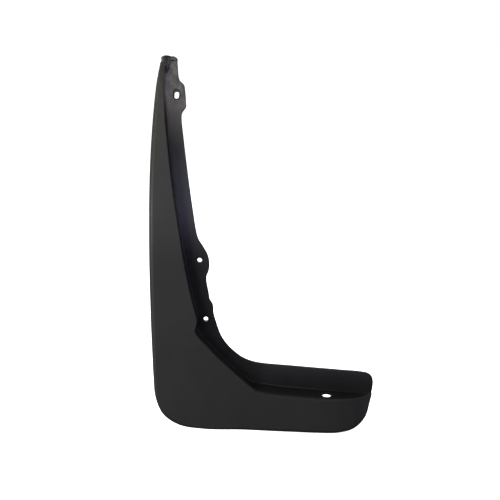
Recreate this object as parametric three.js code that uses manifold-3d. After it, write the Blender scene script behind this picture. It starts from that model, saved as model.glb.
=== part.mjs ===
// Wheel-arch mud flap: one injection moulded shell with a tall arm and a foot, its foam end pad,
// a sealing bead and three eyelets. Millimetres, +X along the foot, +Z up, -Y towards the body.
import * as THREE from "three";
import Module from "manifold-3d";
import { mergeVertices } from "three/addons/utils/BufferGeometryUtils.js";

const wasm = await Module();
wasm.setup();

// The shell is laid out flat in (x, s, h): s runs up the arm, h stands proud of the fixing flange.
// bend() then curves it to the wheel arch. Origin: on the flange, midway between the lower holes.
const WALL = 2.6;
const STEP_EDGE = 1.1;
const STEP_DRAFT = 0.04;
const SHELF_DRAFT = 0.31;
const RIM_ROUND = 5;
const ARCH_RADIUS = 330;
const ARCH_FROM = 40;
const EAR_FLAT = [204, 236];
const TIP_END = 262.5;
const TIP_CUT = { x: -40, s: 253.6 }; // the blade stops short of the flange here
const PAD_SLOPE = 0.4; // slant of the foam's end, which leaves its top level
const GAP = 0.3;
const HOLE = 5.2;
const EYELET_WALL = 1.1;
const COLLAR = 6;
const SLOT_TRAVEL = 5;
const BEAD = 1;
const HOLES = [
  ["top", -29.1, 220.7, SLOT_TRAVEL],
  ["middle", -3.1, 33.4, 0],
  ["lower", 3.2, -33.9, 0],
];
const CLIP_HOLE = { x: 139, s: -120.05, h: 7.2, width: 10.6, depth: 8.2, above: 1.6, below: 4.8 };

// Stations from the tip of the arm to the end of the foot, all flat: outer edge x s, step edge x s,
// a point past the flange edge x s, height of the step, radius of the cove, fall of the flange.
const STATIONS = [
  [-45.4, 272, -42.4, 272, -12, 272, 9, 2, 0],
  [-48, 250, -42.9, 250, -8, 250, 13, 2, 0],
  [-50.6, 228, -43, 228, -6, 228, 17, 2, 0],
  [-52.8, 200, -41.4, 200, -6, 200, 18, 2, 0],
  [-54.8, 164, -37.9, 164, -5, 164, 18, 2, 0],
  [-56.4, 118, -32.4, 118, 2, 118, 18, 2, 0],
  [-57.1, 70, -25.1, 70, 12, 70, 18, 2, 0],
  [-57.5, 30, -18.9, 30, 20, 30, 18, 2, 0],
  [-57.4, 0, -13.3, 0, 23, 0, 18, 2, 0],
  [-57.1, -30, -7.2, -26.5, 24, -22, 18, 2, 0],
  [-56.8, -48, -6.2, -33, 25.5, -27, 18, 2, 0],
  [-56.3, -68, -8.2, -43.9, 29, -36, 18, 2, 0.3],
  [-55.5, -96, -5, -49.6, 33, -42, 18, 2, 0.6],
  [-53.6, -121, 4.8, -61.2, 38, -49, 18, 2, 1],
  [-45.4, -141, 16.5, -74.8, 45, -56, 18, 2, 1.6],
  [-27.6, -153.6, 32.8, -90.7, 53, -63, 18, 2, 2.4],
  [2, -158.6, 54.2, -109.1, 64, -69, 18, 2, 3.6],
  [42, -159.5, 60.8, -114.3, 74, -73, 18, 1.6, 4.6],
  [72, -160.9, 80, -118.3, 88, -75, 18, 1.4, 5],
  [101, -162.3, 105, -120.9, 108, -77, 17.8, 1.4, 5],
  [129, -163.5, 130, -123.1, 131, -78, 17.8, 1.4, 5],
  [152, -163.7, 151, -124, 149, -79, 16.8, 1.4, 5],
  [170.8, -159.8, 168, -124.2, 163, -80, 12.8, 1.4, 5],
  [183.5, -149, 180, -123.4, 184, -82, 6.2, 1.4, 5],
  [188.9, -131.5, 187, -121.3, 197, -88, 3, 1.2, 4.5],
  [190.8, -122, 190.3, -119, 207, -105, 1, 0.5, 4],
];
// The flange edge with its two screw ears, from the tip down the arm and along the foot.
const EDGE = [
  [-29.2, 263.5], [-28.2, 253], [-27.0, 241.5], [-25.6, 237.6], [-20.9, 232.2], [-19.6, 225],
  [-18.4, 210.7], [-18.3, 206.2], [-22.6, 198.4], [-23.0, 192], [-20.4, 168.4], [-15.4, 128.1],
  [-10.4, 92], [-5.6, 62], [-3.5, 56.2], [0.8, 49.5], [6.0, 39.4], [7.7, 31], [7.0, 21.8],
  [4.6, 15.6], [4.4, 9.8], [6.4, -2], [8.1, -11.6], [10.6, -15.6], [11.7, -20], [11.9, -26.6],
  [15.5, -40.1], [20.1, -52.9], [27.9, -64.6],
  [41.5, -77], [50.8, -81.9], [64.3, -85.6], [98.2, -89.1], [152.5, -93.9], [178, -96.2], [186, -98],
  [190.4, -101.6], [191.9, -107.5], [191.4, -114], [190.4, -120],
];
// Ribs across the hollow behind the blade, by station number, and how far they stop short of its mouth.
const RIBS = [4.2, 5.4, 6.6, 8, 10.8, 14, 16.4, 18.4, 19.8, 21.8];
const RIB_FOOT = 4.5;
const RIB_WIDTH = 2;
const HOLLOW = [3.2, 22.6];
const SHELF_FROM = [15, 17.5];

const shade = (color, roughness) => new THREE.MeshStandardMaterial({ color, roughness, metalness: 0 });
const MOULDING = shade(0x2b2c2b, 0.62);
const FOAM = shade(0x4a4a48, 0.95);
const SEAL = shade(0x323234, 0.75);
const EYELET = shade(0x1c1c1e, 0.4);

// Arch: a circular arc above ARCH_FROM, flat where the upper ear seats.
function bend(x, s, h) {
  const [flat0, flat1] = EAR_FLAT;
  const arc = Math.max(0, Math.min(s, flat0) - ARCH_FROM) + Math.max(0, s - flat1);
  const a0 = (flat0 - ARCH_FROM) / ARCH_RADIUS;
  const a = arc / ARCH_RADIUS;
  let y = ARCH_RADIUS * (1 - Math.cos(Math.min(a, a0)));
  let z = Math.min(s, ARCH_FROM) + ARCH_RADIUS * Math.sin(Math.min(a, a0));
  const straight = Math.max(0, Math.min(s, flat1) - flat0);
  y += straight * Math.sin(a0) + ARCH_RADIUS * (Math.cos(a0) - Math.cos(Math.max(a, a0)));
  z += straight * Math.cos(a0) + ARCH_RADIUS * (Math.sin(Math.max(a, a0)) - Math.sin(a0));
  return [x, y - h * Math.cos(a), z + h * Math.sin(a)];
}

function solid(geometry) {
  const bare = new THREE.BufferGeometry().setAttribute("position", geometry.getAttribute("position"));
  if (geometry.index) bare.setIndex(geometry.index);
  const merged = mergeVertices(bare, 1e-4);
  return new wasm.Manifold(
    new wasm.Mesh({
      numProp: 3,
      vertProperties: new Float32Array(merged.getAttribute("position").array),
      triVerts: new Uint32Array(merged.index.array),
    }),
  );
}

// A closed body through rings of equal length, its two ends filled.
function loft(rings) {
  const n = rings[0].length;
  const last = (rings.length - 1) * n;
  const faces = [];
  for (let i = 0; i < rings.length - 1; i++)
    for (let j = 0; j < n; j++) {
      const a = i * n + j;
      const b = i * n + ((j + 1) % n);
      faces.push(a, b + n, b, a, a + n, b + n);
    }
  for (const [base, ring, turn] of [[0, rings[0], 1], [last, rings[rings.length - 1], -1]]) {
    const span = Math.hypot(ring[0][0] - ring[n >> 1][0], ring[0][1] - ring[n >> 1][1]);
    const [ux, us] = [(ring[n >> 1][0] - ring[0][0]) / span, (ring[n >> 1][1] - ring[0][1]) / span];
    const flat = ring.map((v) => new THREE.Vector2(v[0] * ux + v[1] * us, v[2]));
    const around = Math.sign(THREE.ShapeUtils.area(flat)) * turn;
    for (const t of THREE.ShapeUtils.triangulateShape(flat.slice(), [])) {
      const same = Math.sign(THREE.ShapeUtils.area(t.map((k) => flat[k]))) === around;
      faces.push(base + t[0], base + t[same ? 1 : 2], base + t[same ? 2 : 1]);
    }
  }
  const g = new THREE.BufferGeometry();
  g.setAttribute("position", new THREE.Float32BufferAttribute(rings.flat(2), 3)).setIndex(faces);
  const made = solid(g);
  if (made.volume() > 0) return made;
  for (let i = 0; i < faces.length; i += 3) [faces[i + 1], faces[i + 2]] = [faces[i + 2], faces[i + 1]];
  return solid(g.setIndex(faces));
}

const perStation = 1 / (STATIONS.length - 1);
const smooth = (points) => new THREE.CatmullRomCurve3(points, false, "centripetal");
const rail = (k) => smooth(STATIONS.map((r) => new THREE.Vector3(r[k], r[k + 1], 0)));
const OUTER = rail(0);
const STEP = rail(2);
const INNER = rail(4);
const SIZES = smooth(STATIONS.map((r) => new THREE.Vector3(r[6], r[7], r[8])));

// The frame of one station: q is 0 at the step edge, negative over the blade, positive over the flange.
function station(t) {
  const [a, b, c] = [OUTER, STEP, INNER].map((rail3) => rail3.getPoint(t));
  const { x: rise, y: cove, z: fall } = SIZES.getPoint(t);
  const [width, reach] = [a.distanceTo(b), c.distanceTo(b)];
  const onShelf = THREE.MathUtils.smoothstep(t / perStation, ...SHELF_FROM);
  const foot = rise * THREE.MathUtils.lerp(STEP_DRAFT, SHELF_DRAFT, onShelf);
  const at = (q, h) => {
    const p = q < 0 ? b.clone().lerp(a, -q / width) : b.clone().lerp(c, q / reach);
    return [p.x, p.y, h];
  };
  return { width, reach, rise, cove, fall, foot, at };
}

const arc = (q, h, rq, rh, from, to, steps) =>
  Array.from({ length: steps + 1 }, (_, i) => {
    const a = THREE.MathUtils.degToRad(from + ((to - from) * i) / steps);
    return [q + rq * Math.cos(a), h + rh * Math.sin(a)];
  });

const rimDepth = (rise) => 5 + 0.6 * rise;

function skin(t) {
  const { width, reach, rise, cove, fall, foot, at } = station(t);
  const round = Math.min(RIM_ROUND, 0.42 * width, 0.8 * rimDepth(rise));
  const edge = Math.min(STEP_EDGE, 0.3 * rise, 0.3 * width);
  const low = rise - rimDepth(rise);
  const bow = Math.min(cove, 0.75 * (rise - edge));
  const floor = (u) => [foot + bow + (reach - foot - bow) * u, -fall * u * u];
  return [
    [-width, low],
    ...arc(-width + round, rise - round, round, round, 180, 90, 4),
    ...arc(-edge, rise - edge, edge, edge, 90, 0, 2),
    ...arc(foot + bow, bow, bow, bow, 180, 270, 3),
    ...[0.2, 0.45, 0.7, 1].map(floor),
    ...[1, 0.7, 0.45, 0.2, 0].map((u) => [floor(u)[0], floor(u)[1] - WALL]),
  ].map(([q, h]) => at(q, h));
}

// The hollow behind the blade, one wall in from the rim, the blade and the step.
function hollow(t) {
  const { width, rise, cove, foot, at } = station(t);
  const low = Math.min(rise - rimDepth(rise), -WALL) - 2;
  const roof = rise - WALL;
  const r = Math.min(2, 0.3 * (width - 2 * WALL));
  return [
    [-width + WALL, low],
    ...arc(-width + WALL + r, roof - r, r, r, 180, 90, 3),
    ...arc(-WALL - r, roof - r, r, r, 90, 0, 3),
    [foot - WALL, cove - 1],
    [foot - WALL + 0.5 * cove, -WALL * 0.6],
    [foot - WALL + 0.8 * cove, low],
  ].map(([q, h]) => at(q, h));
}

const steps = (from, to, count) =>
  Array.from({ length: count + 1 }, (_, i) => from + ((to - from) * i) / count);

// Plan outline of the finished shell: the flange edge, closed well outside the blade.
function outline() {
  const curve = smooth(EDGE.map(([x, s]) => new THREE.Vector3(x, s, 0)));
  const shape = new THREE.Shape();
  shape.moveTo(-80, TIP_END);
  shape.lineTo(-33, TIP_END);
  for (const p of curve.getSpacedPoints(110)) if (p.y < TIP_END - 0.6) shape.lineTo(p.x, p.y);
  shape.lineTo(240, -120);
  shape.lineTo(240, -200);
  shape.lineTo(-80, -200);
  return solid(new THREE.ExtrudeGeometry(shape, { depth: 60, bevelEnabled: false }).translate(0, 0, -25));
}

// A slot (or a plain disc when travel is 0) standing along h.
function slot(radius, travel, low, high, x, s) {
  const shape = new THREE.Shape();
  shape.absarc(0, travel / 2, radius, 0, Math.PI, false);
  shape.absarc(0, -travel / 2, radius, Math.PI, 2 * Math.PI, false);
  const g = new THREE.ExtrudeGeometry(shape, { depth: high - low, bevelEnabled: false, curveSegments: 10 });
  return solid(g.translate(x, s, low));
}

function shell() {
  const body = loft(steps(0, 1, 66).map(skin));
  let pocket = loft(steps(HOLLOW[0], HOLLOW[1], 46).map((k) => hollow(k * perStation)));
  for (const k of RIBS) {
    const { width, at } = station(k * perStation);
    const [[ax, as], [bx, bs]] = [at(-width, 0), at(0, 0)];
    const rib = new THREE.BoxGeometry(width + 8, RIB_WIDTH, 30).rotateZ(Math.atan2(as - bs, ax - bx));
    pocket = pocket.subtract(solid(rib.translate((ax + bx) / 2, (as + bs) / 2, RIB_FOOT + 15)));
  }
  let made = body.subtract(pocket).intersect(outline());
  for (const [, x, s, travel] of HOLES) {
    made = made.add(slot(COLLAR + 0.9, travel, -WALL - 1, -0.5, x, s));
    made = made.subtract(slot(HOLE / 2 + EYELET_WALL + GAP, travel, -20, 30, x, s));
  }
  const corner = new THREE.BoxGeometry(60, 60, 60).translate(TIP_CUT.x - 30, TIP_CUT.s + 30, 10);
  made = made.subtract(solid(corner));
  const { x, s, h, width, depth, above, below } = CLIP_HOLE;
  const drill = new THREE.CylinderGeometry(depth / 2, depth / 2, above + below, 28).scale(width / depth, 1, 1);
  drill.translate(0, (above - below) / 2, 0).rotateX(Math.atan(SHELF_DRAFT));
  return made.subtract(solid(drill.translate(x, s, h)));
}

// A flanged eyelet: flush with the flange in front, its collar behind.
function eyelet([, x, s, travel]) {
  const barrel = slot(HOLE / 2 + EYELET_WALL, travel, -WALL - 2.6, 0, x, s);
  const collar = slot(COLLAR, travel, -WALL - 2.6, -WALL - 1 - GAP, x, s);
  return barrel.add(collar).subtract(slot(HOLE / 2, travel, -20, 5, x, s));
}

// Foam block that fills the cut corner at the end of the arm, caps the end and runs down the step in a tongue.
function endPad() {
  const left = -46.1;
  const cap = steps(TIP_END + GAP, 268.4, 4).map((s, i) => {
    const inset = [0, 0, 0.2, 0.9, 2.2][i];
    const [near, right] = [left + inset, -29 - inset];
    return [
      [near, -3 + inset], [near, 7.4 - inset], [near + 1.4, 8.6 - inset], [near + 3.4, 8.6 - inset],
      [near + 6.4, 3.2 - inset / 2], [near + 9.2, 1.2 - inset / 2], [right - 1, 0.6 - inset / 2],
      [right, -0.6], [right, -3 + inset],
    ].map(([x, h]) => [x, s - PAD_SLOPE * Math.max(0, h) * (i / 4), h]);
  });
  const edge = TIP_CUT.x - GAP;
  const corner = [TIP_CUT.s + GAP, TIP_END + 2 * GAP].map((s, i) => [
    [left, -3], [left, 5.4 + 2 * i], [left + 1.4, 6.6 + 2 * i], [left + 3.4, 6.6 + 2 * i],
    [left + 6.4, 3.2], [-37.2, 0.9], [-37.2, 0.35], [edge, 0.35], [edge, -3],
  ].map(([x, h]) => [x, s, h]));
  const tongue = [247.5, TIP_CUT.s + 2 * GAP].map((s, i) => [
    [-41.6, 2.3], [-41.6, 2.8 + 3.6 * i], [-39.9 + 2 * i, 0.9 + 0.3 * i], [-39.5 + 2.1 * i, 0.35], [-39.8, 0.35],
  ].map(([x, h]) => [x, s, h]));
  return loft(cap).add(loft(corner)).add(loft(tongue));
}

// Sealing bead in the corner between the shelf and the upright of the foot.
function sealBead() {
  const r = BEAD / 2;
  const rings = steps(17.15, 23, 30).map((k) => {
    const { cove, foot, at } = station(k * perStation);
    const q = foot + cove + 0.2;
    return steps(0, 330, 11).map((deg) => {
      const a = THREE.MathUtils.degToRad(deg);
      return at(q + r * Math.cos(a), r + GAP + r * Math.sin(a));
    });
  });
  return loft(rings);
}

const group = new THREE.Group();
function place(name, flat, material) {
  // Only lengths along the arm are split before bending, so widths are narrowed while refining.
  const bent = flat.scale([0.1, 1, 1]).refineToLength(17).warp((v) => {
    [v[0], v[1], v[2]] = bend(10 * v[0], v[1], v[2]);
  });
  const { vertProperties, triVerts } = bent.getMesh();
  const g = new THREE.BufferGeometry();
  g.setAttribute("position", new THREE.BufferAttribute(vertProperties, 3));
  g.setIndex(new THREE.BufferAttribute(triVerts, 1)).computeVertexNormals();
  const mesh = new THREE.Mesh(g, material);
  mesh.name = name;
  group.add(mesh);
}

place("flap_moulding", shell(), MOULDING);
place("tip_foam_pad", endPad(), FOAM);
place("shelf_seal_bead", sealBead(), SEAL);
for (const hole of HOLES) place(`${hole[0]}_hole_eyelet`, eyelet(hole), EYELET);

export default group;
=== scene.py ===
"""Looks of the wheel-arch mud flap: a fine moulded shell with grain, eyelets, foam pad and sealing bead.

The shell is laid out flat in (x, s, h), in millimetres, as in the CAD: s runs up the arm and h stands
proud of the fixing flange. bend() curves it to the wheel arch and turns it into metres. A section is
drawn in (q, h), where q runs along a station's line across the flap.
"""

import math

import bmesh
import bpy
import numpy as np
from mathutils import Matrix, Vector, noise


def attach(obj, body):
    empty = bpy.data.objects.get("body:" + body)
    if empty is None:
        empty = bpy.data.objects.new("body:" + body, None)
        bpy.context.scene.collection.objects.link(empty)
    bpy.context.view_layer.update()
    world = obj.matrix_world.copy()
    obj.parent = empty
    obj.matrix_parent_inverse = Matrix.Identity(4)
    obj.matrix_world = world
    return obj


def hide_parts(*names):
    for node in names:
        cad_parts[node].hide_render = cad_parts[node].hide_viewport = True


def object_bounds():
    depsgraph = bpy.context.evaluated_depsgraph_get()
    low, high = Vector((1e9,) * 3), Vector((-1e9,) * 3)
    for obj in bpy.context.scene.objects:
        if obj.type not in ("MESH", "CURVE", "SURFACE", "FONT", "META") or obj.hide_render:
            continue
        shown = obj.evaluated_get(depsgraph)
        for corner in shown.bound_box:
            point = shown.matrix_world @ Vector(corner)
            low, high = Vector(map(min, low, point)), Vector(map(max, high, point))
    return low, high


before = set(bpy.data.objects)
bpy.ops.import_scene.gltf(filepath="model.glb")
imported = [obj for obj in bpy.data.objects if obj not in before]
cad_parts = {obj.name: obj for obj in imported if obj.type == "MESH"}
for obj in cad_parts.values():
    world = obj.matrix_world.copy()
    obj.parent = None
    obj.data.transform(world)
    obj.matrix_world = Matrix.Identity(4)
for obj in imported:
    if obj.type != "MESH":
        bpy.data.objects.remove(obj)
cad_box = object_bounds()

MM = 0.001
ON_AXIS = 0.001  # radius that stands for zero in a turned profile
WALL = 2.6
STEP_EDGE = 0.4  # round on the step's edge, sharper than the CAD's
CREASE = 0.4  # round in the crease as a share of the cove, also sharper than the CAD's
STEP_DRAFT = 0.04
SHELF_DRAFT = 0.31
SHELF_FROM = (15, 17.5)  # station numbers between which the step's draft opens to the shelf's
RIM_ROUND = 5
CORNER = 0.4  # round on the rim's and the flange's edges
ARCH_RADIUS = 330
ARCH_FROM = 40
EAR_FLAT = (204, 236)
TIP_END = 262.5  # s where the flange ends
TIP_CUT = (-40, 253.6)  # x and s of the inner corner of the cut in the blade where the foam sits
GAP = 0.3  # between separate pieces
HOLE = 5.2
EYELET_WALL = 1.1
COLLAR = 6  # radius of an eyelet's collar
COLLAR_DEEP = 2.6  # from the flange's back to the eyelet's end
BOSS_MARGIN = 0.9  # how far a boss reaches past the collar
BOSS_DEEP = 1  # how far a boss stands off the flange's back
BEAD = 1
BEAD_SPAN = (17.15, 23)  # station numbers of the bead's two ends
# x, s and slot travel of each hole in the flange.
HOLES = {"top": (-29.1, 220.7, 5), "middle": (-3.1, 33.4, 0), "lower": (3.2, -33.9, 0)}
# Centre and size of the oval hole, and how far its cutter reaches above and below the shelf.
CLIP_HOLE = {"x": 139, "s": -120.05, "h": 7.2, "width": 10.6, "depth": 8.2, "above": 1.6, "below": 4.8}

# Outer edge x s, step edge x s, a point past the flange edge x s, rise of the step, cove, fall.
STATIONS = np.array([
    [-45.4, 272, -42.4, 272, -12, 272, 9, 2, 0],
    [-48, 250, -42.9, 250, -8, 250, 13, 2, 0],
    [-50.6, 228, -43, 228, -6, 228, 17, 2, 0],
    [-52.8, 200, -41.4, 200, -6, 200, 18, 2, 0],
    [-54.8, 164, -37.9, 164, -5, 164, 18, 2, 0],
    [-56.4, 118, -32.4, 118, 2, 118, 18, 2, 0],
    [-57.1, 70, -25.1, 70, 12, 70, 18, 2, 0],
    [-57.5, 30, -18.9, 30, 20, 30, 18, 2, 0],
    [-57.4, 0, -13.3, 0, 23, 0, 18, 2, 0],
    [-57.1, -30, -7.2, -26.5, 24, -22, 18, 2, 0],
    [-56.8, -48, -6.2, -33, 25.5, -27, 18, 2, 0],
    [-56.3, -68, -8.2, -43.9, 29, -36, 18, 2, 0.3],
    [-55.5, -96, -5, -49.6, 33, -42, 18, 2, 0.6],
    [-53.6, -121, 4.8, -61.2, 38, -49, 18, 2, 1],
    [-45.4, -141, 16.5, -74.8, 45, -56, 18, 2, 1.6],
    [-27.6, -153.6, 32.8, -90.7, 53, -63, 18, 2, 2.4],
    [2, -158.6, 54.2, -109.1, 64, -69, 18, 2, 3.6],
    [42, -159.5, 60.8, -114.3, 74, -73, 18, 1.6, 4.6],
    [72, -160.9, 80, -118.3, 88, -75, 18, 1.4, 5],
    [101, -162.3, 105, -120.9, 108, -77, 17.8, 1.4, 5],
    [129, -163.5, 130, -123.1, 131, -78, 17.8, 1.4, 5],
    [152, -163.7, 151, -124, 149, -79, 16.8, 1.4, 5],
    [170.8, -159.8, 168, -124.2, 163, -80, 12.8, 1.4, 5],
    [183.5, -149, 180, -123.4, 184, -82, 6.2, 1.4, 5],
    [188.9, -131.5, 187, -121.3, 197, -88, 3, 1.2, 4.5],
    [190.8, -122, 190.3, -119, 207, -105, 1, 0.5, 4],
])
# The flange edge with its two screw ears, from the tip down the arm and along the foot.
EDGE = np.array([
    [-29.2, 263.5], [-28.2, 253], [-27.0, 241.5], [-25.6, 237.6], [-20.9, 232.2], [-19.6, 225],
    [-18.4, 210.7], [-18.3, 206.2], [-22.6, 198.4], [-23.0, 192], [-20.4, 168.4], [-15.4, 128.1],
    [-10.4, 92], [-5.6, 62], [-3.5, 56.2], [0.8, 49.5], [6.0, 39.4], [7.7, 31], [7.0, 21.8],
    [4.6, 15.6], [4.4, 9.8], [6.4, -2], [8.1, -11.6], [10.6, -15.6], [11.7, -20], [11.9, -26.6],
    [15.5, -40.1], [20.1, -52.9], [27.9, -64.6], [41.5, -77], [50.8, -81.9], [64.3, -85.6],
    [98.2, -89.1], [152.5, -93.9], [178, -96.2], [186, -98], [190.4, -101.6], [191.9, -107.5],
    [191.4, -114], [190.4, -120],
])
RIBS = (4.2, 5.4, 6.6, 8, 10.8, 14, 16.4, 18.4, 19.8, 21.8)  # station numbers
RIB_FOOT = 4.5
RIB_WIDTH = 2
HOLLOW = (3.2, 22.6)  # the shell is solid outside these station numbers
LAST = len(STATIONS) - 1
# Rings lie closer together where s is in one of these ranges, and past station FINE_FROM.
FINE_S = ((198, 240), (8, 58), (-46, -8))
FINE_FROM = 22.5
FINE_STEP, COARSE_STEP = 0.9, 2.2

GRAINED, SMOOTH, REAR = 0, 1, 2


# ---------------------------------------------------------------- curves

def centripetal(points, k):
    """Centripetal Catmull-Rom curve through points, at k spans from the first."""
    i = min(int(math.floor(k)), len(points) - 2)
    w = k - i
    p1, p2 = points[i], points[i + 1]
    p0 = points[i - 1] if i > 0 else 2 * points[0] - points[1]
    p3 = points[i + 2] if i + 2 < len(points) else 2 * points[-1] - points[-2]
    pairs = ((p0, p1), (p1, p2), (p2, p3))
    d0, d1, d2 = (max(math.sqrt(np.linalg.norm(b - a)), 1e-4) for a, b in pairs)
    t1 = ((p1 - p0) / d0 - (p2 - p0) / (d0 + d1) + (p2 - p1) / d1) * d1
    t2 = ((p2 - p1) / d1 - (p3 - p1) / (d1 + d2) + (p3 - p2) / d2) * d1
    return p1 + t1 * w + (3 * (p2 - p1) - 2 * t1 - t2) * w**2 + (2 * (p1 - p2) + t1 + t2) * w**3


def smoothstep(x, lo, hi):
    """0 below lo, 1 above hi and a smooth rise between."""
    t = min(1, max(0, (x - lo) / (hi - lo)))
    return t * t * (3 - 2 * t)


EDGE_LINE = np.array([centripetal(EDGE, k) for k in np.arange(0, len(EDGE) - 1 + 1e-9, 0.05)])


class Station:
    """The cross-section frame at one station number: q is 0 at the step edge, negative over the blade."""

    def __init__(self, k):
        self.outer, self.step, self.inner = (centripetal(STATIONS[:, i:i + 2], k) for i in (0, 2, 4))
        self.rise, self.cove, self.fall = centripetal(STATIONS[:, 6:9], k)
        self.width = np.linalg.norm(self.outer - self.step)
        self.reach = np.linalg.norm(self.inner - self.step)
        draft = STEP_DRAFT + (SHELF_DRAFT - STEP_DRAFT) * smoothstep(k, *SHELF_FROM)
        self.foot = self.rise * draft
        self.edge = min(STEP_EDGE, 0.3 * self.rise, 0.3 * self.width)
        self.bow = min(CREASE * self.cove, 0.75 * (self.rise - self.edge))
        self.low = self.rise - rim_depth(self.rise)

    def plan(self, q):
        """Plan position (x, s) of q."""
        if q < 0:
            return self.step + (self.outer - self.step) * (-q / self.width)
        return self.step + (self.inner - self.step) * (q / self.reach)

    def floor(self, q):
        """Height of the flange's face at q."""
        u = max(0, (q - self.foot - self.bow) / (self.reach - self.foot - self.bow))
        return -self.fall * u * u

    def flange_edge(self):
        """q where this station's line leaves the flange."""
        d = (self.inner - self.step) / self.reach
        rel = EDGE_LINE - self.step
        side = d[0] * rel[:, 1] - d[1] * rel[:, 0]
        along = rel @ d
        hits = np.flatnonzero((side[:-1] > 0) != (side[1:] > 0))
        found = [along[i] + (along[i + 1] - along[i]) * side[i] / (side[i] - side[i + 1]) for i in hits]
        return min(f for f in found if f > 0)


def rim_depth(rise):
    """How far the rim hangs down from the blade."""
    return 5 + 0.6 * rise


def arc(q, h, radius, start, end, count):
    """Points round the centre (q, h), from the angle start to end in degrees."""
    angles = np.radians(np.linspace(start, end, count + 1))
    return [(q + radius * math.cos(a), h + radius * math.sin(a)) for a in angles]


def line(p, q, count):
    """Points from p to q, without the two ends."""
    return [(p[0] + (q[0] - p[0]) * i / count, p[1] + (q[1] - p[1]) * i / count) for i in range(1, count)]


def bend(x, s, h):
    """Flat millimetres to metres on the arch: circular above ARCH_FROM, flat where the upper ear seats."""
    flat0, flat1 = EAR_FLAT
    ear = (flat0 - ARCH_FROM) / ARCH_RADIUS
    a = (max(0, min(s, flat0) - ARCH_FROM) + max(0, s - flat1)) / ARCH_RADIUS
    straight = max(0, min(s, flat1) - flat0)
    y = ARCH_RADIUS * (1 - math.cos(min(a, ear)) + math.cos(ear) - math.cos(max(a, ear)))
    z = min(s, ARCH_FROM) + ARCH_RADIUS * (math.sin(min(a, ear)) + math.sin(max(a, ear)) - math.sin(ear))
    y += straight * math.sin(ear) - h * math.cos(a)
    z += straight * math.cos(ear) + h * math.sin(a)
    return Vector((x, y, z)) * MM


# ---------------------------------------------------------------- the shell

def front(st):
    """Front of one cross-section, from the rim's lower edge over the blade to the flange's edge."""
    r = min(RIM_ROUND, 0.42 * st.width, 0.8 * rim_depth(st.rise))
    c = min(CORNER, 0.2 * st.width)
    rim = arc(-st.width + c, st.low + c, c, 270, 180, 3)
    top = arc(-st.width + r, st.rise - r, r, 180, 90, 10)
    rim += line(rim[-1], top[0], 3) + top
    edge = arc(-st.edge, st.rise - st.edge, st.edge, 90, 0, 6)
    blade = line(top[-1], edge[0], 12) + edge
    cove = arc(st.foot + st.bow, st.bow, st.bow, 180, 270, 9)
    wall = line(edge[-1], cove[0], 6) + cove
    end = max(st.flange_edge(), 0.1)
    qs = [cove[-1][0] + (end - cove[-1][0]) * i / 14 for i in range(1, 15)]
    flange = [(q, st.floor(q)) for q in qs]
    return rim, blade, wall, flange, end


def section(k, pocket, rib=None):
    """One closed ring of (x, s, h) with a zone for each point.

    pocket says what is behind the blade: open, rib or solid. rib gives the rib's own station number and
    the distance of this ring from it, so that both faces of a rib are parallel.
    """
    st = Station(k)
    rim, blade, wall, flange, end = front(st)
    c = min(CORNER, 0.2 * st.width)
    if flange[0][0] > end:
        flange = [(end, st.floor(end))] * len(flange)
        wall = [(min(q, end), h) for q, h in wall]
    h_end = flange[-1][1]
    flange[-1] = (end - c, h_end)
    lip = arc(end - c, h_end - c, c, 90, 0, 3)[1:] + [(end, h_end - WALL + c)]
    lip += arc(end - c, h_end - WALL + c, c, 0, -90, 3)[1:]
    back_q = min(st.foot - WALL + 0.72 * st.cove, end - 2 * c)
    qs = [end - c + (back_q - end + c) * i / 12 for i in range(1, 13)]
    back = [(q, st.floor(q) - WALL) for q in qs]
    roof = st.rise - WALL
    r = min(2, 0.3 * (st.width - 2 * WALL)) if st.width > 2 * WALL + 1 else 0.1
    inner = [(st.foot - WALL + 0.5 * st.cove, -0.6 * WALL), (st.foot - WALL, st.cove - 1)]
    inner += line(inner[-1], (-WALL, roof - r), 4)
    inner += arc(-WALL - r, roof - r, r, 0, 90, 4)
    inner += line(inner[-1], (-st.width + WALL + r, roof), 8)
    inner += arc(-st.width + WALL + r, roof - r, r, 90, 180, 4)
    inner += line(inner[-1], (-st.width + WALL, st.low + c), 3)
    inner += arc(-st.width + WALL - c, st.low + c, c, 0, -90, 3)
    if pocket == "rib":
        inner = [(q, min(h, RIB_FOOT)) for q, h in inner]
    if pocket == "solid":
        n = len(inner)
        first, last = back[-1], (-st.width + 2 * c, st.low)
        inner = [tuple(a + (b - a) * (i + 1) / n for a, b in zip(first, last)) for i in range(n)]
    place = Station(rib[0]) if rib else st
    offset = normal_of(rib[0]) * rib[1] if rib else 0
    scale = place.width / st.width
    ring = [(*st.plan(q), h) for q, h in rim + blade + wall + flange + lip + back]
    ring += [(*(place.plan(q * scale if q < 0 else q) + offset), h) for q, h in inner]
    zones = [GRAINED] * (len(rim) + len(blade)) + [SMOOTH] * (len(wall) + len(flange) + len(lip))
    return ring, zones + [REAR] * (len(back) + len(inner))


def middle_of(k):
    """Plan point half-way across the blade."""
    st = Station(k)
    return (st.outer + st.step) / 2


def normal_of(k):
    """Unit plan vector across station k's line over the blade, towards the next station."""
    st = Station(k)
    across = (st.outer - st.step) / st.width
    n = np.array([-across[1], across[0]])
    return n if n @ (middle_of(k + 0.05) - middle_of(k - 0.05)) > 0 else -n


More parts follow.
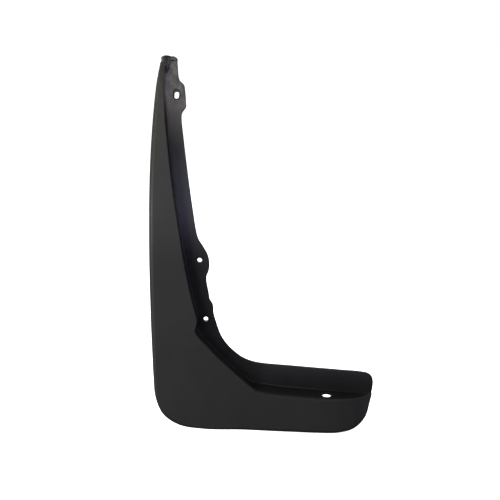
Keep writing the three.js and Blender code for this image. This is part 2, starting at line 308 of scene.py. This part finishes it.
def station_numbers():
    """Station numbers of the rings: about 2 mm apart, closer where the ears and the corner are round."""
    start = next(k for k in np.arange(0, 1, 0.001) if Station(k).step[1] <= TIP_END)
    numbers, k = [start], start
    while k < LAST:
        st = Station(k)
        s = st.step[1]
        fine = k > FINE_FROM or any(lo < s < hi for lo, hi in FINE_S)
        here, ahead = Station(k), Station(min(k + 0.01, LAST))
        speed = max(np.linalg.norm(ahead.plan(q) - here.plan(q)) for q in (-here.width, 0, 20)) / 0.01
        k += (FINE_STEP if fine else COARSE_STEP) / max(speed, 1)
        numbers.append(min(k, LAST))
    return numbers


def shell_rings():
    """Arguments of section() for every ring: the even ones, the hollow's two ends and four for each rib."""
    rings = []
    marks = [(k, 0.5) for k in HOLLOW] + [(k, RIB_WIDTH / 2 + 0.7) for k in RIBS]
    for k in station_numbers():
        if all(min_gap(k, mark) >= clear for mark, clear in marks):
            inside = HOLLOW[0] < k < HOLLOW[1]
            rings.append((k, "open" if inside else "solid", None))
    for k in HOLLOW:
        step = 0.05 / blade_speed(k)
        inward = step if k == HOLLOW[0] else -step
        rings += [(k - inward, "solid", None), (k + inward, "open", None)]
    for k in RIBS:
        half = RIB_WIDTH / 2
        for offset, kind in ((-half - 0.05, "open"), (-half, "rib"), (half, "rib"), (half + 0.05, "open")):
            rings.append((k + offset / blade_speed(k), kind, (k, offset)))
    return sorted(rings, key=lambda r: r[0])


def blade_speed(k):
    """Millimetres over the middle of the blade for one station."""
    return np.linalg.norm(middle_of(k + 0.01) - middle_of(k - 0.01)) / 0.02


def min_gap(k, mark):
    """Distance in millimetres between two station lines, over the blade."""
    a, b = Station(k), Station(mark)
    n = normal_of(mark)
    return min(abs((a.outer - b.outer) @ n), abs((a.step - b.step) @ n))


def object_from(bm, name):
    mesh = bpy.data.meshes.new(name)
    bm.to_mesh(mesh)
    bm.free()
    obj = bpy.data.objects.new(name, mesh)
    bpy.context.scene.collection.objects.link(obj)
    return obj


def loft(rings, zones, name):
    """A closed tube of quads through rings, with its two ends filled."""
    bm = bmesh.new()
    rows = [[bm.verts.new(p) for p in ring] for ring in rings]
    n = len(rings[0])
    for a, b in zip(rows, rows[1:]):
        for j in range(n):
            face = bm.faces.new((a[j], a[(j + 1) % n], b[(j + 1) % n], b[j]))
            face.material_index = zones[j]
    for row in (rows[0], rows[-1]):
        bm.faces.new(row).material_index = zones[0]
    bmesh.ops.remove_doubles(bm, verts=bm.verts, dist=1e-4)
    bmesh.ops.triangulate(bm, faces=[f for f in bm.faces if len(f.verts) > 4])
    bmesh.ops.recalc_face_normals(bm, faces=bm.faces)
    return object_from(bm, name)


def turned(name, profile, travel=0, segments=64):
    """A body turned about the h axis from (radius, h) points; travel stretches it into a slot along s."""
    rings = []
    for i in range(segments):
        a = 2 * math.pi * (i + 0.5) / segments
        shift = math.copysign(travel / 2, math.sin(a))
        rings.append([(r * math.cos(a), r * math.sin(a) + shift, h) for r, h in profile])
    bm = bmesh.new()
    rows = [[bm.verts.new(p) for p in ring] for ring in rings]
    n = len(profile)
    for i in range(segments):
        a, b = rows[i], rows[(i + 1) % segments]
        for j in range(n):
            bm.faces.new((a[j], a[(j + 1) % n], b[(j + 1) % n], b[j]))
    bmesh.ops.remove_doubles(bm, verts=bm.verts, dist=1e-4)
    bmesh.ops.recalc_face_normals(bm, faces=bm.faces)
    return object_from(bm, name)


def cutter(name, profile, material, at=(0, 0, 0), travel=0):
    """A turned body for a boolean: profile runs from the axis to the axis."""
    body = turned(name, profile, travel)
    body.data.transform(Matrix.Translation(at))
    paint(body, material)
    return body


def paint(obj, material):
    obj.data.materials.append(material)


def apply_modifiers(obj):
    """Put the result of obj's modifiers into its mesh."""
    depsgraph = bpy.context.evaluated_depsgraph_get()
    mesh = bpy.data.meshes.new_from_object(obj.evaluated_get(depsgraph), depsgraph=depsgraph)
    obj.modifiers.clear()
    old = obj.data
    obj.data = mesh
    bpy.data.meshes.remove(old)


def combine(obj, other, operation):
    """Exact boolean of obj with other, which is used up."""
    modifier = obj.modifiers.new("bool", "BOOLEAN")
    modifier.object = other
    modifier.operation = operation
    modifier.solver = "EXACT"
    modifier.material_mode = "TRANSFER"
    apply_modifiers(obj)
    bpy.data.objects.remove(other)


def place_on_arch(obj):
    for v in obj.data.vertices:
        v.co = bend(*v.co)


def finish_shading(obj, sharp=38):
    """Smooth shading with sharp edges above an angle in degrees, and face-weighted normals."""
    for p in obj.data.polygons:
        p.use_smooth = True
    obj.data.set_sharp_from_angle(angle=math.radians(sharp))
    modifier = obj.modifiers.new("normals", "WEIGHTED_NORMAL")
    modifier.keep_sharp = True
    modifier.weight = 90
    apply_modifiers(obj)


def build_shell(materials):
    """The whole moulding in one mesh, with bosses, bores, clip hole and the cut for the foam."""
    made = [section(*ring) for ring in shell_rings()]
    shell = loft([ring for ring, _ in made], made[0][1], "flap_moulding_fine")
    for m in materials:
        shell.data.materials.append(m)
    bore = HOLE / 2 + EYELET_WALL + GAP
    rim, back = COLLAR + BOSS_MARGIN, -WALL - BOSS_DEEP
    boss = [(ON_AXIS, -0.5), (rim, -0.5), (rim, -WALL - 0.7), (rim - 0.3, back), (ON_AXIS, back)]
    flare = [(bore + 0.35, 0.05), (bore + 0.1, -0.15), (bore, -0.4)]
    drill = [(ON_AXIS, 20), (bore + 0.35, 20)] + flare + [(bore, -20), (ON_AXIS, -20)]
    for x, s, travel in HOLES.values():
        combine(shell, cutter("boss", boss, materials[REAR], (x, s, 0), travel), "UNION")
        combine(shell, cutter("drill", drill, materials[SMOOTH], (x, s, 0), travel), "DIFFERENCE")
    combine(shell, clip_drill(materials[SMOOTH]), "DIFFERENCE")
    combine(shell, tip_cutter(materials[REAR]), "DIFFERENCE")
    bm = bmesh.new()
    bm.from_mesh(shell.data)
    bmesh.ops.triangulate(bm, faces=[f for f in bm.faces if len(f.verts) > 4])
    bm.to_mesh(shell.data)
    bm.free()
    place_on_arch(shell)
    finish_shading(shell)
    return shell


def tip_cutter(material):
    """Block over the corner cut out of the blade at the end of the arm, its inner edge rounded."""
    x, s = TIP_CUT
    left, top, heights = -80, 290, (-20, 40)  # all well outside the shell
    inner_edge = [(x - 1.2, s), (x - 0.5, s + 0.25), (x - 0.1, s + 0.8), (x, s + 1.6)]
    outline = [(left, s)] + inner_edge + [(x, top), (left, top)]
    block = loft([[(*point, h) for point in outline] for h in heights], [0] * len(outline), "tip_cutter")
    paint(block, material)
    return block


def clip_drill(material):
    """Oval cutter square to the shelf, flared where it enters so that the hole's lip is rounded."""
    r, above, below = CLIP_HOLE["depth"] / 2, CLIP_HOLE["above"], -CLIP_HOLE["below"]
    lip = [(r + 0.5, 0.03), (r + 0.2, -0.08), (r + 0.05, -0.25), (r, -0.5)]
    profile = [(ON_AXIS, above), (r + 0.5, above)] + lip + [(r, below), (ON_AXIS, below)]
    drill = cutter("clip_drill", profile, material)
    drill.data.transform(Matrix.Diagonal((CLIP_HOLE["width"] / CLIP_HOLE["depth"], 1, 1, 1)))
    tilt = Matrix.Rotation(-math.pi / 2 + math.atan(SHELF_DRAFT), 4, "X")
    drill.data.transform(Matrix.Translation((CLIP_HOLE["x"], CLIP_HOLE["s"], CLIP_HOLE["h"])) @ tilt)
    return drill


# ---------------------------------------------------------------- small pieces

def build_eyelet(name, material):
    """Flanged eyelet, its lips and collar rounded."""
    x, s, travel = HOLES[name]
    r0, r1, back = HOLE / 2, HOLE / 2 + EYELET_WALL, -WALL - COLLAR_DEEP
    collar = -WALL - BOSS_DEEP - GAP
    profile = arc(r1 - 0.3, -0.3, 0.3, 0, 90, 4)
    profile += arc(r0 + 0.4, -0.4, 0.4, 90, 180, 4)
    profile += arc(r0 + 0.25, back + 0.25, 0.25, 180, 270, 4)
    profile += arc(COLLAR - 0.4, back + 0.4, 0.4, 270, 360, 4)
    profile += arc(COLLAR - 0.25, collar - 0.25, 0.25, 0, 90, 3)
    profile += arc(r1 + 0.2, collar + 0.2, 0.2, 270, 180, 3)
    eyelet = turned(f"{name}_eyelet_fine", profile, travel)
    eyelet.data.transform(Matrix.Translation((x, s, 0)))
    paint(eyelet, material)
    place_on_arch(eyelet)
    finish_shading(eyelet, 50)
    return eyelet


def build_bead(material):
    """Sealing bead in the crease of the foot, pressed slightly flat."""
    r = BEAD / 2
    start, end = BEAD_SPAN
    rings = []
    for k in np.arange(start, end + 0.001, 0.04):
        st = Station(k)
        q = st.foot + st.cove + 0.2
        ends = max(0.12, min(1, (k - start) / 0.1, (end - k) / 0.1)) ** 0.5
        rings.append([(*st.plan(q + ends * r * math.cos(a)), r + GAP + 0.96 * ends * r * math.sin(a))
                      for a in np.radians(np.arange(0, 360, 24))])
    bead = loft(rings, [0] * len(rings[0]), "seal_bead_fine")
    paint(bead, material)
    place_on_arch(bead)
    finish_shading(bead, 60)
    return bead


PAD_LEFT, PAD_RIGHT = -47, -29
PAD_BACK = -2.9
PAD_TOP = 268.4
PAD_SLOPE = 0.4  # how much lower the top face is for each millimetre of h
PAD_INSET = 3.2  # how far the sides have drawn in at the top
# From the left side to the ends of the chamfer, of the crest, of its slope and of the foot.
PAD_ACROSS = (1.4, 3.4, 6.4, 9.2)
PAD_STEP = (-37.2, 0.95)  # where the slope meets the low part beside the step
PAD_SEAT = 0.45  # h of the faces that lie over the flange
PAD_VOXEL = 0.28
TONGUE_FROM, TONGUE_TO = 247.5, TIP_CUT[1] + 2 * GAP
SHOULDER_FROM = 263.6  # the block's outer top corner is worn round above this s
SHOULDER_WEAR = 0.11
FREE_ABOVE = (1.6, TIP_END + 1.5)  # h and s above which the block stands clear of the plastic
FOAM_ROUGH = 1.1  # height of the lumps of the cut foam


def pad_outline(s):
    """Outline (x, h) of the foam block at s: beside the flange below TIP_END, over its end above."""
    if s < TIP_END + GAP:
        up = (s - TIP_CUT[1]) / (TIP_END - TIP_CUT[1])
        chamfer, crest, slope, _ = (PAD_LEFT + across for across in PAD_ACROSS)
        edge = TIP_CUT[0] - GAP
        return [(PAD_LEFT, PAD_BACK), (PAD_LEFT, 5 + 2 * up), (chamfer, 6.6 + 2 * up), (crest, 6.6 + 2 * up),
                (slope, 3.2), PAD_STEP, (PAD_STEP[0], PAD_SEAT), (edge, PAD_SEAT), (edge, PAD_BACK)]
    t = (s - TIP_END - GAP) / (PAD_TOP - TIP_END - GAP)
    inset = PAD_INSET * t ** 3
    near, right, back = PAD_LEFT + inset, PAD_RIGHT - inset, PAD_BACK + inset
    chamfer, crest, slope, foot = (near + across for across in PAD_ACROSS)
    return [(near, back), (near, 7.2 - inset), (chamfer, 8.6 - inset), (crest, 8.6 - inset),
            (slope, 3.2 - inset / 2), (foot, 1.2 - inset / 2), (right - 1, 0.6 - inset / 2),
            (right, -0.6), (right, back)]


def tongue_outline(s):
    """Outline (x, h) of the foam's tongue in the corner between step and flange."""
    t = (s - TONGUE_FROM) / (TONGUE_TO - TONGUE_FROM)
    return [(-41.6, 2.3), (-41.6, 2.8 + 3.6 * t), (-39.9 + 2 * t, 1 + 0.3 * t),
            (-39.5 + 2.1 * t, PAD_SEAT), (-39.8, PAD_SEAT)]


def roughen(obj):
    """Lumps of torn foam, held back where the block lies against the plastic, and a worn outer corner."""
    mesh = obj.data
    mesh.update()
    for v in mesh.vertices:
        p = v.co * 0.35  # the widest lumps are about 3 mm apart
        lump = noise.noise(p) * 0.5 + noise.noise(p * 2.7) * 0.4 + noise.noise(p * 6.5) * 0.3
        free = 1 if v.co.z > FREE_ABOVE[0] or v.co.y > FREE_ABOVE[1] else 0
        v.co += v.normal * lump * FOAM_ROUGH * free
        above = max(0, v.co.y + PAD_SLOPE * max(0, v.co.z) - SHOULDER_FROM)
        outer = min(1, max(0, (TIP_CUT[0] - v.co.x) / (TIP_CUT[0] - PAD_LEFT)))
        v.co.x += SHOULDER_WEAR * above**2 * outer


def build_pad(material):
    """Foam block in the cut corner, over the end of the arm and down the step in a tongue."""
    block_points, tongue_points = 96, 40
    beside = np.linspace(TIP_CUT[1] + GAP, TIP_END + GAP - 0.01, 18)
    over = np.linspace(TIP_END + GAP, PAD_TOP, 16)
    rows = []
    for s in np.concatenate([beside, over]):
        t = max(0, (s - TIP_END - GAP) / (PAD_TOP - TIP_END - GAP))
        outline = resample(pad_outline(s), block_points)
        rows.append([(x, s - PAD_SLOPE * max(0, h) * t, h) for x, h in outline])
    pad = loft(rows, [0] * block_points, "foam_pad_fine")
    rows = [[(x, s, h) for x, h in resample(tongue_outline(s), tongue_points)]
            for s in np.linspace(TONGUE_FROM, TONGUE_TO, 14)]
    combine(pad, loft(rows, [0] * tongue_points, "tongue"), "UNION")
    remesh = pad.modifiers.new("even", "REMESH")
    remesh.mode = "VOXEL"
    remesh.voxel_size = PAD_VOXEL
    apply_modifiers(pad)
    roughen(pad)
    pad.data.materials.clear()  # the boolean leaves an empty slot
    paint(pad, material)
    place_on_arch(pad)
    finish_shading(pad, 70)
    return pad


def resample(points, count):
    """count points spaced evenly round a closed outline."""
    loop = np.array(list(points) + [points[0]])
    lengths = np.concatenate([[0], np.cumsum(np.linalg.norm(np.diff(loop, axis=0), axis=1))])
    at = np.linspace(0, lengths[-1], count, endpoint=False)
    return list(zip(np.interp(at, lengths, loop[:, 0]), np.interp(at, lengths, loop[:, 1])))


# ---------------------------------------------------------------- materials

AXIS_START = -0.1  # metres; a ramp needs positions from 0 to 1


def fill_ramp(node, stops):
    """Set a colour ramp's stops, each a position and a colour."""
    elements = node.color_ramp.elements
    while len(elements) < len(stops):
        elements.new(0.5)
    for element, (position, value) in zip(elements, stops):
        element.position = position
        element.color = value if len(value) == 4 else (*value, 1)


class Nodes:
    """Small helper for one material's node tree."""

    def __init__(self, name):
        self.material = bpy.data.materials.new(name)
        self.material.use_nodes = True
        self.tree = self.material.node_tree
        self.shader = self.tree.nodes["Principled BSDF"]
        self.coordinates = self.add("ShaderNodeTexCoord").outputs["Object"]

    def add(self, kind, **values):
        node = self.tree.nodes.new(kind)
        for key, value in values.items():
            if key in node.inputs:
                node.inputs[key].default_value = value
            else:
                setattr(node, key, value)
        return node

    def link(self, output, socket):
        self.tree.links.new(output, socket)

    def set(self, name, value):
        """Value for one input of the shader: another node's output, or a uniform number or colour."""
        if isinstance(value, bpy.types.NodeSocket):
            self.link(value, self.shader.inputs[name])
        else:
            self.shader.inputs[name].default_value = value

    def noise(self, scale, detail=4, roughness=0.55, stretch=None):
        node = self.add("ShaderNodeTexNoise", Scale=scale, Detail=detail, Roughness=roughness)
        if stretch:
            mapping = self.add("ShaderNodeMapping")
            mapping.inputs["Scale"].default_value = stretch
            self.link(self.coordinates, mapping.inputs["Vector"])
            self.link(mapping.outputs["Vector"], node.inputs["Vector"])
        else:
            self.link(self.coordinates, node.inputs["Vector"])
        return node.outputs["Fac"]

    def axis(self, name):
        """One of the object's own coordinates, in metres from AXIS_START."""
        split = self.add("ShaderNodeSeparateXYZ")
        self.link(self.coordinates, split.inputs["Vector"])
        shift = self.add("ShaderNodeMath", operation="SUBTRACT")
        self.link(split.outputs[name], shift.inputs[0])
        shift.inputs[1].default_value = AXIS_START
        return shift.outputs["Value"]

    def band(self, name, *stops):
        """Strength along an axis, from (coordinate in metres, value) pairs."""
        return self.ramp(self.axis(name), *((at - AXIS_START, grey(value)) for at, value in stops))

    def ramp(self, factor, *stops):
        node = self.add("ShaderNodeValToRGB")
        fill_ramp(node, stops)
        self.link(factor, node.inputs["Fac"])
        return node.outputs["Color"]

    def mix(self, factor, a, b, kind="MIX"):
        node = self.add("ShaderNodeMix", data_type="RGBA", blend_type=kind)
        for socket, value in ((node.inputs[0], factor), (node.inputs[6], a), (node.inputs[7], b)):
            if isinstance(value, bpy.types.NodeSocket):
                self.link(value, socket)
            else:
                socket.default_value = value
        return node.outputs[2]

    def bump(self, height, strength, distance, normal=None):
        node = self.add("ShaderNodeBump", Strength=strength, Distance=distance)
        self.link(height, node.inputs["Height"])
        if normal:
            self.link(normal, node.inputs["Normal"])
        return node.outputs["Normal"]


def grey(v, tint=(1, 1, 1)):
    return (v * tint[0], v * tint[1], v * tint[2])


def grained_plastic():
    """Blade: black polyolefin with a fine spark-eroded grain and faint scuffs, and painted light making the
    right end lighter.
    """
    n = Nodes("grained_black_plastic")
    cloud = n.noise(14, 3)
    base = n.ramp(cloud, (0.3, grey(0.011, (1, 1.0, 0.985))), (0.7, grey(0.0135, (1, 1.0, 0.98))))
    # Painted light: the blade's colour is lifted towards its right end, where more light falls.
    base = n.mix(1.0, base, n.band("X", (0.145, 0), (0.185, 0.003)), "ADD")
    scuffs = n.ramp(n.noise(420, 2, 0.6, (1, 1, 0.12)), (0.62, grey(0)), (0.78, grey(1)))
    patches = n.ramp(n.noise(22, 2), (0.55, grey(0)), (0.75, grey(0.35)))
    wear = n.mix(1.0, scuffs, patches, "MULTIPLY")
    n.set("Base Color", n.mix(wear, base, (0.02, 0.02, 0.0195, 1)))
    rough = n.ramp(n.noise(60, 4), (0.3, grey(0.48)), (0.7, grey(0.55)))
    n.set("Roughness", rough)
    coarse = n.bump(n.noise(2300, 3, 0.6), 0.35, 0.00012)
    fine = n.bump(n.noise(5200, 2, 0.5), 0.25, 0.00006, coarse)
    n.set("Normal", n.bump(n.noise(9, 2), 0.3, 0.0008, fine))
    n.set("Specular IOR Level", 0.19)
    return n.material


def smooth_plastic():
    """Flange, step and shelf: the same plastic off a polished mould, with painted light that varies up the
    arm, painted reflection streaks at the tip and painted light beside the step there.
    """
    n = Nodes("smooth_black_plastic")
    flow = n.noise(26, 4, 0.6, (1, 1, 0.2))
    base = n.ramp(flow, (0.3, grey(0.0033, (1, 0.98, 1.02))), (0.72, grey(0.005, (1, 0.98, 1.0))))
    # Painted light: the flange's colour rises and falls with height, where the arch turns it towards the
    # light, tinted bluish as a painted reflection.
    painted_light_up_arm = n.band("Z", (-0.06, 0.0005), (-0.025, 0.003), (0.01, 0.0035), (0.045, 0.0078), (0.1, 0.0145),
                   (0.15, 0.0088), (0.185, 0.002), (0.24, 0.007))
    bluish_painted_light = n.mix(1.0, painted_light_up_arm, (0.95, 0.98, 1.15, 1), "MULTIPLY")
    base = n.mix(1.0, base, bluish_painted_light, "ADD")
    # Painted reflection: pale brownish vertical streaks near the tip, plus painted light lifting the shade
    # beside the step there; both appear only near the tip.
    painted_streaks = n.ramp(n.noise(110, 3, 0.6, (1, 1, 0.45)), (0.44, grey(0)),
                    (0.62, grey(0.045, (1.06, 1, 0.92))))
    painted_light_at_step = n.band("X", (-0.0455, 0), (-0.0425, 0.06), (-0.0395, 0.06), (-0.0365, 0))
    painted_tip_light = n.mix(1.0, painted_streaks, painted_light_at_step, "ADD")
    base = n.mix(1.0, base, n.mix(1.0, painted_tip_light, n.band("Z", (0.192, 0), (0.21, 1)), "MULTIPLY"), "ADD")
    n.set("Base Color", base)
    rough = n.ramp(n.noise(48, 4, 0.6, (1, 1, 0.35)), (0.3, grey(0.31)), (0.72, grey(0.37)))
    n.set("Roughness", rough)
    wave = n.bump(n.noise(30, 2, 0.5, (1, 1, 0.5)), 0.3, 0.0006)
    n.set("Normal", n.bump(n.noise(1800, 3), 0.12, 0.00005, wave))
    n.set("Specular IOR Level", 0.25)
    return n.material


def rear_plastic():
    """Rear: duller tool side, with faint flow marks."""
    n = Nodes("rear_black_plastic")
    base = n.ramp(n.noise(18, 4, 0.6, (1, 1, 0.3)), (0.3, grey(0.014)), (0.72, grey(0.021)))
    n.set("Base Color", base)
    rough = n.ramp(n.noise(70, 4), (0.3, grey(0.46)), (0.72, grey(0.6)))
    n.set("Roughness", rough)
    tool = n.bump(n.noise(900, 3, 0.6, (1, 1, 0.06)), 0.25, 0.00006)
    n.set("Normal", n.bump(n.noise(16, 2), 0.3, 0.0008, tool))
    n.set("Specular IOR Level", 0.35)
    return n.material


def foam():
    """End pad of cut foam: matt, pitted and unevenly dark, with painted shade in its pits."""
    n = Nodes("black_foam")
    cells = n.add("ShaderNodeTexVoronoi", Scale=1500, feature="F1")
    n.link(n.coordinates, cells.inputs["Vector"])
    pits = n.ramp(cells.outputs["Distance"], (0.15, grey(0)), (0.6, grey(1)))
    tone = n.ramp(n.noise(420, 5, 0.65), (0.32, grey(0.03)), (0.68, grey(0.085, (1, 0.98, 0.97))))
    # Painted shade: the colour is darkened in the pits of the cells.
    n.set("Base Color", n.mix(0.5, tone, pits, "MULTIPLY"))
    n.set("Roughness", 0.95)
    n.set("Specular IOR Level", 0.2)
    lumps = n.bump(n.noise(700, 5, 0.7), 0.9, 0.0006)
    n.set("Normal", n.bump(pits, 0.7, 0.0003, lumps))
    return n.material


def seal_rubber():
    """Thin bead, with painted shade darkening it towards the open end of the shelf, and duller there."""
    n = Nodes("seal_rubber")
    painted_shade_fade = n.band("X", (0.1, 1), (0.135, 0.12))
    tone = n.ramp(n.noise(300, 4), (0.3, grey(0.008)), (0.7, grey(0.013)))
    # Painted shade: the bead's colour darkens towards the open end, where its highlight fades.
    n.set("Base Color", n.mix(1.0, tone, painted_shade_fade, "MULTIPLY"))
    satin = n.ramp(n.noise(140, 3), (0.3, grey(0.42)), (0.7, grey(0.55)))
    n.set("Roughness", n.mix(painted_shade_fade, (0.9, 0.9, 0.9, 1), satin))
    n.set("Normal", n.bump(n.noise(2600, 3), 0.3, 0.00006))
    n.set("Specular IOR Level", 0.25)
    return n.material


def eyelet_nylon():
    """Plain black nylon, a little glossier than the moulding's back."""
    n = Nodes("eyelet_nylon")
    n.set("Base Color", n.ramp(n.noise(380, 3), (0.3, grey(0.006)), (0.7, grey(0.011))))
    n.set("Roughness", n.ramp(n.noise(260, 3), (0.3, grey(0.36)), (0.7, grey(0.5))))
    n.set("Normal", n.bump(n.noise(1900, 3), 0.2, 0.00005))
    n.set("Specular IOR Level", 0.35)
    return n.material


# ---------------------------------------------------------------- stage

CAMERA_AT = (52.503, -1076.58, 273.886)  # millimetres
CAMERA_DOWN = 12  # degrees
LENS = 72
FLOOR_GAP = 0.0003  # metres under the flap
LIT_FROM = (0.067, 0, 0.05)  # the point that every panel faces
# Name, azimuth, elevation, distance, size, watts and colour of each panel.
PANELS = (
    ("left_low", -45, 5, 1.6, (0.9, 0.4), 34, (1, 0.98, 0.99)),
    ("front_low", 0, 8, 1.6, (0.6, 0.3), 2.1, (0.5, 0.46, 1)),
    ("front_mid", -15, 25, 1.6, (0.7, 0.35), 2.2, (0.75, 0.75, 1)),
    ("near_top", -30, 60, 0.75, (0.3, 0.3), 1.5, (1, 0.94, 0.96)),
    ("left_high", -60, 50, 1.0, (0.3, 0.3), 4.5, (0.97, 1, 0.62)),
    ("right_low", 85, 10, 1.6, (0.8, 0.35), 3.2, (0.9, 0.92, 1)),
    ("right_front", 58, 8, 1.6, (0.6, 0.35), 2.4, (0.75, 0.74, 1)),
    ("right_high", 75, 45, 1.6, (0.7, 0.35), 2.4, (1, 0.96, 0.94)),
    ("rear_left", -145, 35, 1.8, (1.0, 0.6), 16, (1, 1, 1)),
    ("rear_right", 150, 40, 1.8, (1.0, 0.6), 12, (1, 1, 1)),
)
# Stops of the surround: the direction's Z or Y, and the level there.
HORIZON = ((-0.045, 0), (-0.035, 1), (0.15, 1), (0.25, 0.05))
BEHIND = ((0.1, 0), (0.5, 0.9))


def camera():
    data = bpy.data.cameras.new("camera")
    data.lens = LENS
    data.sensor_width = 36
    obj = bpy.data.objects.new("camera", data)
    obj.location = Vector(CAMERA_AT) * MM
    obj.rotation_euler = (math.radians(90 - CAMERA_DOWN), 0, 0)
    bpy.context.scene.collection.objects.link(obj)
    bpy.context.scene.camera = obj


def stage_floor(z):
    """Pale floor that only the camera sees, so that the flap's gloss comes from the lights alone."""
    bm = bmesh.new()
    bmesh.ops.create_grid(bm, x_segments=8, y_segments=8, size=40)
    floor = object_from(bm, "studio_floor")
    floor.location = (0, 0, z)
    floor.visible_diffuse = False
    floor.visible_glossy = False
    floor.visible_shadow = False
    n = Nodes("studio_floor")
    n.set("Base Color", n.ramp(n.noise(3, 2), (0.3, grey(0.78)), (0.7, grey(0.8))))
    n.set("Roughness", 0.9)
    n.set("Specular IOR Level", 0.1)
    n.set("Emission Color", (1, 1, 1, 1))
    n.set("Emission Strength", 1.0)
    paint(floor, n.material)


def panel(name, azimuth, elevation, distance, size, watts, color):
    """Soft panel aimed at the flap: azimuth 0 is behind the camera, 90 to its right."""
    data = bpy.data.lights.new(name, "AREA")
    data.shape = "RECTANGLE"
    data.size, data.size_y = size
    data.energy = watts
    data.color = color
    obj = bpy.data.objects.new(name, data)
    a, e = math.radians(azimuth), math.radians(elevation)
    out = Vector((math.sin(a) * math.cos(e), -math.cos(a) * math.cos(e), math.sin(e)))
    obj.location = Vector(LIT_FROM) + out * distance
    obj.rotation_euler = out.to_track_quat("Z", "Y").to_euler()
    obj.visible_camera = False
    bpy.context.scene.collection.objects.link(obj)


def world_ramp(tree, value, stops):
    """Grey ramp over value, which runs from -1 to 1."""
    remap = tree.nodes.new("ShaderNodeMapRange")
    remap.inputs["From Min"].default_value = -1
    ramp = tree.nodes.new("ShaderNodeValToRGB")
    fill_ramp(ramp, [((position + 1) / 2, grey(level)) for position, level in stops])
    tree.links.new(value, remap.inputs["Value"])
    tree.links.new(remap.outputs["Result"], ramp.inputs["Fac"])
    return ramp.outputs["Color"]


def studio():
    """White surround near the horizon and behind the flap, dark room in front, with soft panels."""
    world = bpy.data.worlds.new("studio")
    world.use_nodes = True
    tree = world.node_tree
    where = tree.nodes.new("ShaderNodeTexCoord")
    split = tree.nodes.new("ShaderNodeSeparateXYZ")
    tree.links.new(where.outputs["Generated"], split.inputs["Vector"])
    horizon = world_ramp(tree, split.outputs["Z"], HORIZON)
    behind = world_ramp(tree, split.outputs["Y"], BEHIND)
    lighter = tree.nodes.new("ShaderNodeMix")
    lighter.data_type = "RGBA"
    lighter.blend_type = "LIGHTEN"
    lighter.inputs[0].default_value = 1
    tree.links.new(horizon, lighter.inputs[6])
    tree.links.new(behind, lighter.inputs[7])
    tree.links.new(lighter.outputs[2], tree.nodes["Background"].inputs["Color"])
    scene = bpy.context.scene
    scene.world = world
    scene.view_settings.view_transform = "Standard"
    scene.view_settings.look = "None"
    for settings in PANELS:
        panel(*settings)


# ---------------------------------------------------------------- assembly

def dress(piece, node):
    """Hide the CAD node that a piece stands in for, and put the piece on the one body."""
    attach(piece, "root")
    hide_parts(node)


camera()
studio()
stage_floor(cad_box[0][2] - FLOOR_GAP)

black = [grained_plastic(), smooth_plastic(), rear_plastic()]
dress(build_shell(black), "flap_moulding")
nylon = eyelet_nylon()
for hole in HOLES:
    dress(build_eyelet(hole, nylon), f"{hole}_hole_eyelet")
dress(build_bead(seal_rubber()), "shelf_seal_bead")
pad = build_pad(foam())
dress(pad, "tip_foam_pad")
